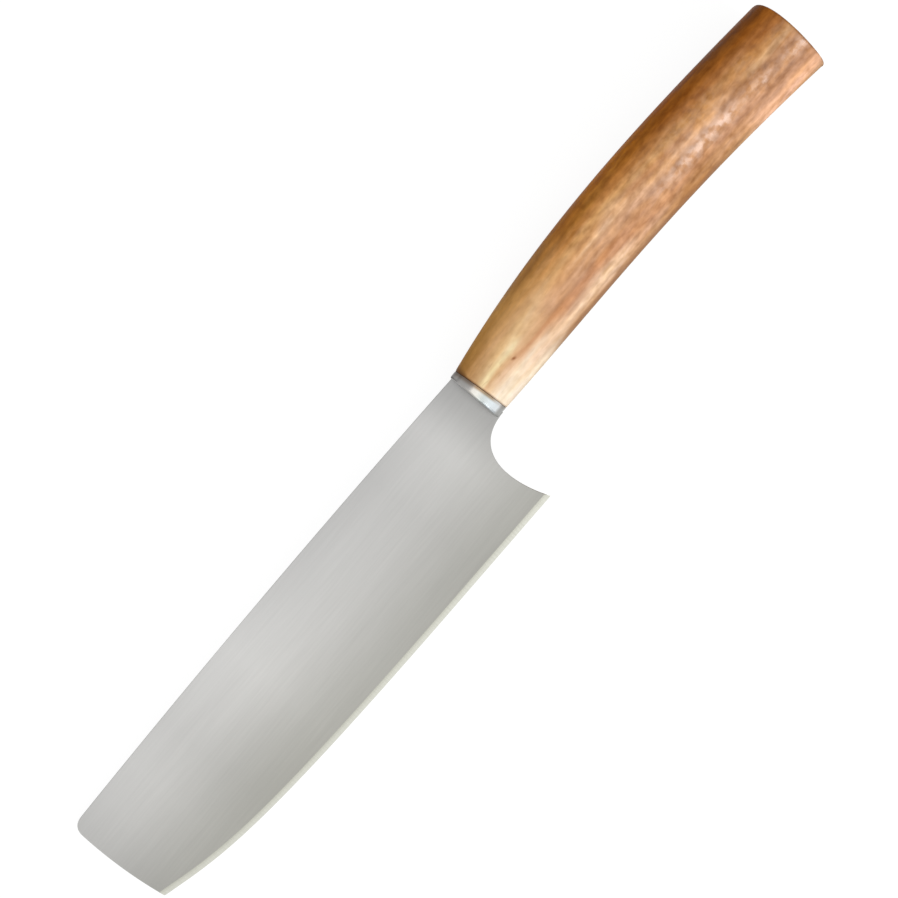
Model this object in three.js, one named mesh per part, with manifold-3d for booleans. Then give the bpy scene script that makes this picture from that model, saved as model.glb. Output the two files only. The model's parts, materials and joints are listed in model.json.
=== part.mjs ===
// Kitchen knife with a tall blunt-nosed blade and a hidden tang, lying on its right side.
// Millimetres. The pieces are drawn with the blade's middle plane at Z = 0: +X runs from the
// bolster to the butt, +Y to the spine and +Z out of the left flank. The tang's axis is Y = 0, and
// X = 0 is the seam between the bolster and the wood. The drawn knife is laid down at the end.
import * as THREE from 'three';
import { ConvexHull } from 'three/addons/math/ConvexHull.js';
import { mergeVertices } from 'three/addons/utils/BufferGeometryUtils.js';
import Module from 'manifold-3d';

// Blade outline
const EDGE_LENGTH = 160.5; // heel to tip, along X
const HEEL_AHEAD = 10.4; // seam to heel
const SPINE_HEIGHT = 8.45; // tang axis up to the spine at the seam
const SPINE_RISE = 0.35; // the spine's far end above its root
const SPINE_CROWN = 0.95; // bow of the spine above its chord
const BLADE_HEIGHT = 43.9; // spine down to the heel
const TIP_HEIGHT = 33; // spine down to the tip
const NECK_HEIGHT = 17.7; // spine down to the neck's lower edge
const NOSE_LEAD = 2; // the nose's upper end ahead of the tip
const NOSE_BULGE = 0.55; // bow of the nose
const NOSE_ROUND = 4.3; // legs of the rounded corner between spine and nose
const BELLY_START = 40; // heel to the end of the flat stretch
const FLAT_RISE = 0.57; // climb of the edge over its flat stretch
const FLAT_HOLD = 89; // how far the flat stretch steers the belly
const TIP_HOLD = 21.5; // how far the tip's slope steers the belly
const TIP_SLOPE = THREE.MathUtils.degToRad(15.4); // slope of the edge at the tip
const CHOIL_LEAN = THREE.MathUtils.degToRad(22); // lean of the finger notch at the heel
const CHOIL_HEEL_HOLD = 16; // how far the heel's lean steers the finger notch
const CHOIL_NECK_HOLD = 13.1; // how far the neck's lower edge steers it

// Blade grind
const SPINE_THICKNESS = 2; // at the seam
const NOSE_THICKNESS = 1.5; // at the spine's far end
const HEEL_THICKNESS = 0.65; // behind the bevel at the heel
const BEVEL_WIDTH = 1.7; // edge to the flank
const HONE_DEPTH = 0.1; // taken off the blank's outline by the bevel

// Tang
const TANG_LENGTH = 85; // seam to the tang's end
const TANG_ROOT_HEIGHT = 10;
const TANG_END_HEIGHT = 7;
const NOTCH_RADIUS = 1.2;
const NOTCH_COUNT = 3; // along each side
const NOTCH_SIDES = 16;

// Bolster
const BOLSTER_LENGTH = 3.1; // middle of the seam to its upright front
const BOLSTER_FLOOR = 1.1; // steel behind the blade's shoulders
const BOLSTER_ROUND = 0.6; // round-over of its front rim
const SEAM_RAKE = THREE.MathUtils.degToRad(4.3); // the seam's top leans to the blade

// Handle
const HANDLE_LENGTH = 136.4; // seam to butt
const FRONT_HEIGHT = 18.1;
const FRONT_THICKNESS = 14.6;
const BUTT_HEIGHT = 26.4;
const BUTT_THICKNESS = 20.6;
const BUTT_DROP = 2.2; // the butt's middle below the tang's axis
const BACK_RISE = THREE.MathUtils.degToRad(9.4); // slope of the back at the seam
const BACK_FALL = THREE.MathUtils.degToRad(4.8); // slope of the back at the butt
const UNDERSIDE_DIP = THREE.MathUtils.degToRad(1.7); // slope of the underside at the seam
const UNDERSIDE_FALL = THREE.MathUtils.degToRad(7.1); // slope of the underside at the butt
const SEAM_HOLD = 40; // how far the slopes at the seam steer the handle's long curves
const BUTT_HOLD = 60; // how far the slopes at the butt steer them
const SWELL_HOLD = 45; // how far the thickness at each end steers the sides
const FRONT_EGG = 0.1; // lean of the oval's widest place to the back, at the seam
const BUTT_EGG = 0.3; // the same at the butt
const FRONT_EASE = 0.35; // round-over of the wood at the seam
const BUTT_EASE = 0.9; // round-over of the wood at the butt

// Fits
const SEAM_GAP = 0.25; // bolster to wood
const SLOT_CLEARANCE = 0.2; // blade to bolster
const GLUE_WALL = 0.7; // wall of the glue bed
const GLUE_CLEARANCE = 0.2; // glue bed to tang, and glue bed to mortise

// Densities in grams per cubic millimetre, for the resting pose
const STEEL_DENSITY = 0.0078;
const WOOD_DENSITY = 0.0007;
const GLUE_DENSITY = 0.0012;

// Facets
const LONG_STEPS = 28; // along the blade's and the handle's long curves
const SHORT_STEPS = 10; // along short curves
const ROUND_STEPS = 5; // over a round-over
const RING_POINTS = 44; // round an oval
const OVERSHOOT = 5; // a cutting tool's reach past what it cuts
const MERGE_DISTANCE = 1e-5; // corners closer than this are one corner

const wasm = await Module();
wasm.setup();

// Solids

function toSolid(geometry) {
  geometry.deleteAttribute('normal');
  geometry.deleteAttribute('uv');
  const merged = mergeVertices(geometry, MERGE_DISTANCE);
  return new wasm.Manifold(new wasm.Mesh({
    numProp: 3,
    vertProperties: Float32Array.from(merged.attributes.position.array),
    triVerts: Uint32Array.from(merged.index.array),
  }));
}

function toGeometry(solid) {
  const { vertProperties, triVerts } = solid.getMesh();
  const geometry = new THREE.BufferGeometry();
  geometry.setAttribute('position', new THREE.BufferAttribute(vertProperties, 3));
  geometry.setIndex(new THREE.BufferAttribute(triVerts, 1));
  geometry.computeVertexNormals();
  return geometry;
}

// Skin over closed rings, each running clockwise as seen along the way from first to last.
function loft(rings) {
  const count = rings[0].length;
  const points = rings.flat();
  const faces = [];
  for (let i = 0; i + 1 < rings.length; i += 1) {
    for (let j = 0; j < count; j += 1) {
      const here = i * count;
      const next = here + count;
      const k = (j + 1) % count;
      faces.push(here + j, here + k, next + k, here + j, next + k, next + j);
    }
  }
  const middle = (ring) => ring.reduce((sum, p) => sum.add(p), new THREE.Vector3()).divideScalar(count);
  const first = points.push(middle(rings[0])) - 1;
  const last = points.push(middle(rings.at(-1))) - 1;
  const lastRing = (rings.length - 1) * count;
  for (let j = 0; j < count; j += 1) {
    const k = (j + 1) % count;
    faces.push(first, k, j, last, lastRing + j, lastRing + k);
  }
  return toSolid(new THREE.BufferGeometry().setFromPoints(points).setIndex(faces));
}

// Plate of an outline, as thick as the blade's grind and thicker by extra on each side.
function groundPlate(outline, extra = 0) {
  const geometry = new THREE.ExtrudeGeometry(new THREE.Shape(outline), { depth: 1, bevelEnabled: false });
  const { position } = geometry.attributes;
  for (let i = 0; i < position.count; i += 1) {
    const half = halfThickness(position.getX(i), position.getY(i)) + extra;
    position.setZ(i, position.getZ(i) > 0 ? half : -half);
  }
  return toSolid(geometry);
}

function quadratic(a, control, b, steps) {
  return new THREE.QuadraticBezierCurve(a, control, b).getPoints(steps);
}

function cubic(a, controlA, controlB, b, steps) {
  return new THREE.CubicBezierCurve(a, controlA, controlB, b).getPoints(steps);
}

function point(x, y) {
  return new THREE.Vector2(x, y);
}

// Point at a length along a slope from another point.
function along(start, slope, length) {
  return point(start.x + length * Math.cos(slope), start.y + length * Math.sin(slope));
}

// Seam plane between bolster and wood, leaning by the rake.
function seamX(y) {
  return -y * Math.tan(SEAM_RAKE);
}

// Blade

const heel = point(-HEEL_AHEAD, SPINE_HEIGHT - BLADE_HEIGHT);
const tip = point(heel.x - EDGE_LENGTH, SPINE_HEIGHT - TIP_HEIGHT);
const noseTop = point(tip.x - NOSE_LEAD, SPINE_HEIGHT + SPINE_RISE);
const neckLow = SPINE_HEIGHT - NECK_HEIGHT;

// Flat-ground flanks: each is one plane, thinner to the edge and to the nose.
function halfThickness(x, y) {
  const taper = (SPINE_THICKNESS - NOSE_THICKNESS) * (x / noseTop.x);
  const grind = (SPINE_THICKNESS - HEEL_THICKNESS) * ((SPINE_HEIGHT - y) / BLADE_HEIGHT);
  return (SPINE_THICKNESS - taper - grind) / 2;
}

// Edge from the tip back to the heel: a belly, then a flat stretch.
function edgeCurve() {
  const bellyStart = point(heel.x - BELLY_START, heel.y + FLAT_RISE);
  const flatSlope = Math.atan2(heel.y - bellyStart.y, heel.x - bellyStart.x);
  const tipSteer = along(tip, -TIP_SLOPE, TIP_HOLD);
  const flatSteer = along(bellyStart, flatSlope, -FLAT_HOLD);
  return [...cubic(tip, tipSteer, flatSteer, bellyStart, LONG_STEPS), heel];
}

// Front face of the bolster's floor, and the blade's shoulders one clearance ahead of it.
function floorX(y) {
  return seamX(y) - SEAM_GAP - BOLSTER_FLOOR;
}

function shoulderX(y) {
  return floorX(y) - SLOT_CLEARANCE;
}

// Tapered tang, grown all round: start gives the X where each of its long sides begins.
function tangOutline(grow, start) {
  const root = TANG_ROOT_HEIGHT / 2 + grow;
  const end = TANG_END_HEIGHT / 2 + grow;
  const length = TANG_LENGTH + grow;
  return [
    point(start(-root), -root),
    point(length, -end),
    point(length, end),
    point(start(root), root),
  ];
}

function bladeOutline() {
  const spineRoot = point(shoulderX(SPINE_HEIGHT), SPINE_HEIGHT);
  const spineMiddle = spineRoot.clone().add(noseTop).divideScalar(2);
  const spineSteer = point(spineMiddle.x, spineMiddle.y + 2 * SPINE_CROWN);
  const roundStart = point(noseTop.x + NOSE_ROUND, noseTop.y);
  const roundEnd = point(noseTop.x, noseTop.y - NOSE_ROUND);
  const noseSteer = point(noseTop.x - NOSE_BULGE, (roundEnd.y + tip.y) / 2);
  const neckRoot = point(shoulderX(neckLow), neckLow);
  const heelSteer = along(heel, Math.PI / 2 + CHOIL_LEAN, CHOIL_HEEL_HOLD);
  const neckSteer = point(neckRoot.x - CHOIL_NECK_HOLD, neckLow);
  return [
    ...quadratic(spineRoot, spineSteer, roundStart, LONG_STEPS),
    ...quadratic(roundStart, noseTop, roundEnd, SHORT_STEPS).slice(1),
    ...quadratic(roundEnd, noseSteer, tip, SHORT_STEPS).slice(1),
    ...edgeCurve().slice(1),
    ...cubic(heel, heelSteer, neckSteer, neckRoot, 2 * SHORT_STEPS).slice(1),
    ...tangOutline(0, shoulderX),
  ];
}

// Steel that the stone takes off one side of the edge: side is 1 on the left, -1 on the right.
function bevelWaste(side) {
  const bevelTop = HONE_DEPTH + BEVEL_WIDTH;
  const reach = 2 * bevelTop;
  const edge = edgeCurve();
  const ahead = edge[0].clone().sub(edge[1]).setLength(OVERSHOOT).add(edge[0]);
  const behind = edge.at(-1).clone().sub(edge.at(-2)).setLength(OVERSHOOT).add(edge.at(-1));
  const path = [ahead, ...edge, behind];
  const rings = path.map((p, i) => {
    const next = path[Math.min(i + 1, path.length - 1)];
    const last = path[Math.max(i - 1, 0)];
    const way = next.clone().sub(last).normalize();
    const inward = (depth) => point(p.x - way.y * depth, p.y + way.x * depth);
    const at = (depth, z) => new THREE.Vector3(...inward(depth), side * z);
    const slope = halfThickness(...inward(bevelTop)) / BEVEL_WIDTH;
    const ring = [
      at(reach, (reach - HONE_DEPTH) * slope),
      at(reach, OVERSHOOT),
      at(-OVERSHOOT, OVERSHOOT),
      at(-OVERSHOOT, -(OVERSHOOT + HONE_DEPTH) * slope),
    ];
    return side > 0 ? ring : ring.reverse();
  });
  return loft(rings);
}

// Half-round glue keys along both sides of the tang, smaller by shrink.
function cutNotches(tang, shrink) {
  let notched = tang;
  for (let n = 1; n <= NOTCH_COUNT; n += 1) {
    const x = TANG_LENGTH * n / (NOTCH_COUNT + 1);
    const share = x / TANG_LENGTH;
    const y = THREE.MathUtils.lerp(TANG_ROOT_HEIGHT, TANG_END_HEIGHT, share) / 2;
    for (const side of [-1, 1]) {
      const drill = new THREE.CylinderGeometry(
        NOTCH_RADIUS - shrink, NOTCH_RADIUS - shrink, 2 * OVERSHOOT, NOTCH_SIDES);
      drill.rotateX(Math.PI / 2).translate(x, side * y, 0);
      notched = notched.subtract(toSolid(drill));
    }
  }
  return notched;
}

function makeBlade() {
  const blank = groundPlate(bladeOutline());
  return cutNotches(blank.subtract(bevelWaste(1)).subtract(bevelWaste(-1)), 0);
}

// Handle and bolster

const back = new THREE.CubicBezierCurve();
const underside = new THREE.CubicBezierCurve();
back.v0.set(seamX(FRONT_HEIGHT / 2), FRONT_HEIGHT / 2);
back.v1.copy(along(back.v0, BACK_RISE, SEAM_HOLD));
back.v3.set(HANDLE_LENGTH, BUTT_HEIGHT / 2 - BUTT_DROP);
back.v2.copy(along(back.v3, -BACK_FALL, -BUTT_HOLD));
underside.v0.set(seamX(-FRONT_HEIGHT / 2), -FRONT_HEIGHT / 2);
underside.v1.copy(along(underside.v0, -UNDERSIDE_DIP, SEAM_HOLD));
underside.v3.set(HANDLE_LENGTH, -BUTT_HEIGHT / 2 - BUTT_DROP);
underside.v2.copy(along(underside.v3, -UNDERSIDE_FALL, -BUTT_HOLD));
const swell = new THREE.CubicBezierCurve(
  point(0, FRONT_THICKNESS / 2),
  point(SWELL_HOLD, BUTT_THICKNESS / 2),
  point(HANDLE_LENGTH - SWELL_HOLD, BUTT_THICKNESS / 2),
  point(HANDLE_LENGTH, BUTT_THICKNESS / 2),
);

// Egg-shaped ring across the long curves at share t, moved along X and drawn in all round.
function eggRing(t, shift = 0, inset = 0) {
  const top = back.getPoint(t);
  const bottom = underside.getPoint(t);
  const middle = top.clone().add(bottom).divideScalar(2);
  const halfHeight = top.clone().sub(bottom).divideScalar(2);
  halfHeight.setLength(halfHeight.length() - inset);
  const half = swell.getPoint(t).y - inset;
  const egg = THREE.MathUtils.lerp(FRONT_EGG, BUTT_EGG, t);
  const widest = Math.acos((Math.sqrt(1 + 8 * egg * egg) - 1) / (4 * egg));
  const bulge = (angle) => Math.sin(angle) * (1 + egg * Math.cos(angle));
  return Array.from({ length: RING_POINTS }, (_, j) => {
    const angle = 2 * Math.PI * j / RING_POINTS;
    const x = middle.x + halfHeight.x * Math.cos(angle) + shift;
    const y = middle.y + halfHeight.y * Math.cos(angle);
    return new THREE.Vector3(x, y, half * bulge(angle) / bulge(widest));
  });
}

// Rings over a rounded rim at share t, from the end face to where the full oval begins.
function rimRings(t, end, inward, radius) {
  return Array.from({ length: ROUND_STEPS + 1 }, (_, i) => {
    const turn = Math.PI / 2 * i / ROUND_STEPS;
    return eggRing(t, end + inward * radius * (1 - Math.cos(turn)), radius * (1 - Math.sin(turn)));
  });
}

// Straight-sided mortise: the tang grown by the glue bed and its clearances, less shrink.
function mortise(shrink, start) {
  const grow = GLUE_WALL + 2 * GLUE_CLEARANCE - shrink;
  return groundPlate(tangOutline(grow, start), grow);
}

function makeHandle() {
  const steps = Array.from({ length: LONG_STEPS - 1 }, (_, i) => (i + 1) / LONG_STEPS);
  const wood = loft([
    ...rimRings(0, 0, 1, FRONT_EASE),
    ...steps.map((t) => eggRing(t)),
    ...rimRings(1, 0, -1, BUTT_EASE).reverse(),
  ]);
  return wood.subtract(mortise(0, (y) => seamX(y) - OVERSHOOT));
}

function makeTangBed() {
  const front = (y) => seamX(y) - SEAM_GAP + GLUE_CLEARANCE;
  const tang = groundPlate(tangOutline(GLUE_CLEARANCE, (y) => seamX(y) - OVERSHOOT), GLUE_CLEARANCE);
  return mortise(GLUE_CLEARANCE, front).subtract(cutNotches(tang, GLUE_CLEARANCE));
}

// Collar with an upright front; its back follows the seam.
function makeBolster() {
  const front = rimRings(0, -BOLSTER_LENGTH, 1, BOLSTER_ROUND);
  for (const p of front.flat()) {
    p.setX(p.x - seamX(p.y));
  }
  const collar = loft([...front, eggRing(0, -SEAM_GAP)]);
  const low = neckLow - OVERSHOOT;
  const high = SPINE_HEIGHT + OVERSHOOT;
  const ahead = -BOLSTER_LENGTH - OVERSHOOT;
  const neckSlot = groundPlate(
    [point(ahead, low), point(floorX(low), low), point(floorX(high), high), point(ahead, high)],
    SLOT_CLEARANCE,
  );
  const tangSlot = groundPlate(tangOutline(SLOT_CLEARANCE, (y) => floorX(y) - OVERSHOOT), SLOT_CLEARANCE);
  return collar.subtract(neckSlot).subtract(tangSlot);
}

// Knife

const steel = new THREE.MeshStandardMaterial({ color: 0xc4c3be, roughness: 0.34, metalness: 1 });
const polishedSteel = new THREE.MeshStandardMaterial({ color: 0xdfe2e6, roughness: 0.12, metalness: 1 });
const wood = new THREE.MeshStandardMaterial({ color: 0xc48a55, roughness: 0.45, metalness: 0 });
const epoxy = new THREE.MeshStandardMaterial({ color: 0xb8a57c, roughness: 0.5, metalness: 0 });

const pieces = [
  { name: 'blade', solid: makeBlade(), material: steel, density: STEEL_DENSITY },
  { name: 'bolster', solid: makeBolster(), material: polishedSteel, density: STEEL_DENSITY },
  { name: 'handle', solid: makeHandle(), material: wood, density: WOOD_DENSITY },
  { name: 'tang_bed', solid: makeTangBed(), material: epoxy, density: GLUE_DENSITY },
];

const knife = new THREE.Group();
for (const piece of pieces) {
  const mesh = new THREE.Mesh(toGeometry(piece.solid), piece.material);
  mesh.name = piece.name;
  piece.mesh = mesh;
  knife.add(mesh);
}

// Resting pose

function corners(geometry) {
  const { position } = geometry.attributes;
  const corner = (_, i) => new THREE.Vector3().fromBufferAttribute(position, i);
  return Array.from({ length: position.count }, corner);
}

// Centre of mass, summed over the tetrahedra between the origin and each facet.
function centreOfMass() {
  const moment = new THREE.Vector3();
  let mass = 0;
  for (const { mesh, density } of pieces) {
    const points = corners(mesh.geometry);
    const { array } = mesh.geometry.index;
    for (let i = 0; i < array.length; i += 3) {
      const [a, b, c] = [points[array[i]], points[array[i + 1]], points[array[i + 2]]];
      const share = density * a.dot(b.clone().cross(c)) / 6;
      moment.addScaledVector(a.clone().add(b).add(c), share / 4);
      mass += share;
    }
  }
  return moment.divideScalar(mass);
}

// Of the convex hull's faces that the centre of mass stands over, the one that looks most to the right.
function restingNormal() {
  const hull = new ConvexHull().setFromPoints(pieces.flatMap(({ mesh }) => corners(mesh.geometry)));
  const centre = centreOfMass();
  const stable = hull.faces.filter((face) => {
    const a = face.edge.head().point;
    const b = face.edge.next.head().point;
    const c = face.edge.prev.head().point;
    const foot = centre.clone().addScaledVector(face.normal, -face.distanceToPoint(centre));
    return THREE.Triangle.containsPoint(foot, a, b, c);
  });
  stable.sort((a, b) => a.normal.z - b.normal.z);
  return stable[0].normal;
}

knife.quaternion.setFromUnitVectors(restingNormal(), new THREE.Vector3(0, 0, -1));

const laidKnife = new THREE.Group();
laidKnife.add(knife);
const box = new THREE.Box3().setFromObject(laidKnife, true);
const foot = box.getCenter(new THREE.Vector3()).setZ(box.min.z);
knife.position.sub(foot);

export default laidKnife;
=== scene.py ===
"""Looks of a straight-edged kitchen knife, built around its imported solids.

The pieces are drawn in millimetres, as the solids are: the blade's middle plane is Z = 0, +X runs from the
bolster to the butt, +Y to the spine and +Z out of the left flank. DRAWN carries them into the frame.
"""

import json
import math

import bpy
import numpy as np
from mathutils import Matrix, Vector


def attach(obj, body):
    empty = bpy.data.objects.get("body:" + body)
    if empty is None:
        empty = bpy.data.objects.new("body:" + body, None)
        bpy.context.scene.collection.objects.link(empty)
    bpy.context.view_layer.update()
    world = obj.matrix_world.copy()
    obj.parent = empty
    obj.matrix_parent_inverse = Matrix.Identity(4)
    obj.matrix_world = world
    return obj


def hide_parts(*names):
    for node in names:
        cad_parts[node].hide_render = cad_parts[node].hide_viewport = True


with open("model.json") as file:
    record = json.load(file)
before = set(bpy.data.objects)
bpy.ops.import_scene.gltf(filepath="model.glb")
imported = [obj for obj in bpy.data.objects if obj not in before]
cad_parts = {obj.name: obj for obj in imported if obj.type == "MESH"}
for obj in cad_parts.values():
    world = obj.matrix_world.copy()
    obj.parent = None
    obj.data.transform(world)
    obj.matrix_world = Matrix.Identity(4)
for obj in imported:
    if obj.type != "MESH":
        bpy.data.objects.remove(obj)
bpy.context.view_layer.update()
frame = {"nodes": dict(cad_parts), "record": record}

MM = 0.001

# Blade outline, in millimetres
EDGE_LENGTH = 160.5
HEEL_AHEAD = 10.4
SPINE_HEIGHT = 8.45
SPINE_RISE = 0.35
SPINE_CROWN = 0.95
BLADE_HEIGHT = 43.9
TIP_HEIGHT = 33
NECK_HEIGHT = 17.7
NOSE_LEAD = 2
NOSE_BULGE = 0.55
NOSE_ROUND = 4.3
BELLY_START = 40
FLAT_RISE = 0.57
FLAT_HOLD = 89
TIP_HOLD = 21.5
TIP_SLOPE = math.radians(15.4)
CHOIL_LEAN = math.radians(22)
CHOIL_HEEL_HOLD = 16
CHOIL_NECK_HOLD = 13.1

# Blade grind
SPINE_THICKNESS = 2
NOSE_THICKNESS = 1.5
HEEL_THICKNESS = 0.65
HONE_DEPTH = 0.1
BEVEL_WIDTH = 1.7
WALL_EASE = 0.15  # chamfer along the spine, the nose and the finger notch
EDGE_HALF = 0.004  # half of what is left of the cutting edge's thickness
CORNER_CLEAR = 2.6  # plain stretch of the outline on each side of tip and heel

# Tang
TANG_LENGTH = 85
TANG_ROOT_HEIGHT = 10
TANG_END_HEIGHT = 7
NOTCH_RADIUS = 1.2
NOTCH_COUNT = 3

# Bolster
BOLSTER_LENGTH = 3.1
BOLSTER_FLOOR = 1.1
BOLSTER_ROUND = 0.6
SEAM_RAKE = math.radians(4.3)

# Handle
HANDLE_LENGTH = 136.4
FRONT_HEIGHT = 18.1
FRONT_THICKNESS = 14.6
BUTT_HEIGHT = 26.4
BUTT_THICKNESS = 20.6
BUTT_DROP = 2.2
BACK_RISE = math.radians(9.4)
BACK_FALL = math.radians(4.8)
UNDERSIDE_DIP = math.radians(1.7)
UNDERSIDE_FALL = math.radians(7.1)
SEAM_HOLD = 40
BUTT_HOLD = 60
SWELL_HOLD = 45
FRONT_EGG = 0.1
BUTT_EGG = 0.3
FRONT_EASE = 0.35
BUTT_EASE = 0.9

# Fits
SEAM_GAP = 0.25
SLOT_CLEARANCE = 0.2
NECK_FIT = 0.05  # what shows of the slot beside the blade's neck
SEAM_FIT = 0.05  # what shows of the gap between bolster and wood
GLUE_WALL = 0.7
GLUE_CLEARANCE = 0.2

# Facets
LONG_STEPS = 140
SHORT_STEPS = 24
CHOIL_STEPS = 64
NOTCH_STEPS = 12
ROUND_STEPS = 12
RING_POINTS = 144  # a multiple of 8, so that the mortise gets its corners
CUT_REACH = 5  # a cutting tool's reach past what it cuts
BLADE_CREASE = math.radians(5)  # bends over this angle stay sharp on the blade
ROUND_CREASE = math.radians(30)  # the same on bolster and handle

# View: the camera looks square at the left flank
AIM = (-19.02, -4.08)
CAMERA_DISTANCE = 600
VIEW_WIDTH = 260  # width of the picture at the blade
SENSOR_WIDTH = 36
KNIFE_LEAN = math.radians(49.89)  # the handle's direction above the picture's horizontal

# Where the frame's two flank mounts sit as drawn
FLANK_POINT = (-156.5, -5.4)


def drawn_frame():
    """Matrix from the drawn axes to the frame, from the mounts on the flanks and the butt."""
    mounts = {mount["name"]: mount for mount in frame["record"]["mounts"]}
    left, right = mounts["left_flank"], mounts["right_flank"]
    z_axis = (Vector(left["axis"]) - Vector(right["axis"])).normalized()
    x_axis = Vector(mounts["butt_end"]["axis"]).normalized()
    y_axis = z_axis.cross(x_axis)
    turn = Matrix((x_axis, y_axis, z_axis)).transposed()
    middle = (Vector(left["pos_m"]) + Vector(right["pos_m"])) / 2
    origin = middle - turn @ Vector((FLANK_POINT[0] * MM, FLANK_POINT[1] * MM, 0))
    return Matrix.Translation(origin) @ turn.to_4x4()


DRAWN = drawn_frame()


def drawn(x, y, z):
    """Frame point of a drawn point."""
    return DRAWN @ Vector((x * MM, y * MM, z * MM))


# Curves and outlines


def bezier(points, steps):
    """Points along a Bezier curve, both ends included."""
    t = np.linspace(0, 1, steps + 1)[:, None]
    degree = len(points) - 1
    curve = np.zeros((steps + 1, len(points[0])))
    for k, point in enumerate(points):
        curve += math.comb(degree, k) * (1 - t) ** (degree - k) * t**k * np.asarray(point, float)
    return curve


def along(start, slope, length):
    """Point at a length along a slope from another point."""
    return np.array((start[0] + length * math.cos(slope), start[1] + length * math.sin(slope)))


def inward_normals(outline):
    """Unit normals into a closed counter-clockwise outline, one for each side."""
    sides = np.roll(outline, -1, axis=0) - outline
    ways = sides / np.linalg.norm(sides, axis=1)[:, None]
    return np.stack((-ways[:, 1], ways[:, 0]), axis=1)


def drawn_in(outline, distances):
    """Closed outline drawn in, each of its sides by its own distance."""
    normals = inward_normals(outline)
    moved = outline.copy()
    for i in range(len(outline)):
        before, after = normals[i - 1], normals[i]
        if distances[i - 1] == distances[i]:
            moved[i] += distances[i] * (before + after) / (1 + before @ after)
        else:
            moved[i] += np.linalg.solve((before, after), (distances[i - 1], distances[i]))
    return moved


def seam_x(y):
    """Seam plane between bolster and wood, leaning by the rake."""
    return -y * math.tan(SEAM_RAKE)


def floor_x(y):
    """Front face of the bolster's floor."""
    return seam_x(y) - SEAM_GAP - BOLSTER_FLOOR


def shoulder_x(y):
    """The blade's shoulders, one clearance ahead of the bolster's floor."""
    return floor_x(y) - SLOT_CLEARANCE


HEEL = np.array((-HEEL_AHEAD, SPINE_HEIGHT - BLADE_HEIGHT))
TIP = np.array((HEEL[0] - EDGE_LENGTH, SPINE_HEIGHT - TIP_HEIGHT))
NOSE_TOP = np.array((TIP[0] - NOSE_LEAD, SPINE_HEIGHT + SPINE_RISE))
NECK_LOW = SPINE_HEIGHT - NECK_HEIGHT


def half_thickness(points):
    """Flat-ground flanks: each is one plane, thinner to the edge and to the nose."""
    points = np.asarray(points)
    taper = (SPINE_THICKNESS - NOSE_THICKNESS) * points[..., 0] / NOSE_TOP[0]
    grind = (SPINE_THICKNESS - HEEL_THICKNESS) * (SPINE_HEIGHT - points[..., 1]) / BLADE_HEIGHT
    return (SPINE_THICKNESS - taper - grind) / 2


def edge_curve():
    """The edge from tip to heel: a belly, then a flat stretch."""
    belly_start = np.array((HEEL[0] - BELLY_START, HEEL[1] + FLAT_RISE))
    flat_slope = math.atan2(HEEL[1] - belly_start[1], HEEL[0] - belly_start[0])
    tip_steer = along(TIP, -TIP_SLOPE, TIP_HOLD)
    flat_steer = along(belly_start, flat_slope, -FLAT_HOLD)
    belly = bezier((TIP, tip_steer, flat_steer, belly_start), LONG_STEPS)
    flat = bezier((belly_start, HEEL), SHORT_STEPS)
    return np.concatenate((belly, flat[1:]))


def tang_side(side):
    """One long side of the tang from root to end, with its half-round glue keys."""
    root = np.array((shoulder_x(side * TANG_ROOT_HEIGHT / 2), side * TANG_ROOT_HEIGHT / 2))
    end = np.array((TANG_LENGTH, side * TANG_END_HEIGHT / 2))
    points = [root]
    for n in range(1, NOTCH_COUNT + 1):
        share = n / (NOTCH_COUNT + 1)
        half = (TANG_ROOT_HEIGHT + (TANG_END_HEIGHT - TANG_ROOT_HEIGHT) * share) / 2
        for turn in np.linspace(math.pi, 0, NOTCH_STEPS + 1):
            x = TANG_LENGTH * share + NOTCH_RADIUS * math.cos(turn)
            points.append(np.array((x, side * (half - NOTCH_RADIUS * math.sin(turn)))))
    points.append(end)
    return np.array(points)


def away_from(points, *corners):
    """The points that keep clear of the given corners."""
    keep = np.ones(len(points), bool)
    for corner in corners:
        keep &= np.linalg.norm(points - corner, axis=1) > CORNER_CLEAR
    return points[keep]


def blade_outline():
    """Closed outline of blade and tang, counter-clockwise, and the places of tip and heel in it."""
    spine_root = np.array((shoulder_x(SPINE_HEIGHT), SPINE_HEIGHT))
    spine_steer = (spine_root + NOSE_TOP) / 2 + np.array((0, 2 * SPINE_CROWN))
    round_start = NOSE_TOP + np.array((NOSE_ROUND, 0))
    round_end = NOSE_TOP - np.array((0, NOSE_ROUND))
    nose_steer = np.array((NOSE_TOP[0] - NOSE_BULGE, (round_end[1] + TIP[1]) / 2))
    neck_root = np.array((shoulder_x(NECK_LOW), NECK_LOW))
    heel_steer = along(HEEL, math.pi / 2 + CHOIL_LEAN, CHOIL_HEEL_HOLD)
    neck_steer = neck_root - np.array((CHOIL_NECK_HOLD, 0))
    before_tip = np.concatenate((
        bezier((spine_root, spine_steer, round_start), LONG_STEPS),
        bezier((round_start, NOSE_TOP, round_end), SHORT_STEPS)[1:],
        away_from(bezier((round_end, nose_steer, TIP), SHORT_STEPS)[1:], TIP),
    ))
    edge = np.concatenate(([TIP], away_from(edge_curve(), TIP, HEEL), [HEEL]))
    after_heel = np.concatenate((
        away_from(bezier((HEEL, heel_steer, neck_steer, neck_root), CHOIL_STEPS), HEEL),
        tang_side(-1),
        tang_side(1)[::-1],
    ))
    tip_place = len(before_tip)
    heel_place = tip_place + len(edge) - 1
    return np.concatenate((before_tip, edge, after_heel)), tip_place, heel_place


# Pieces


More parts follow.
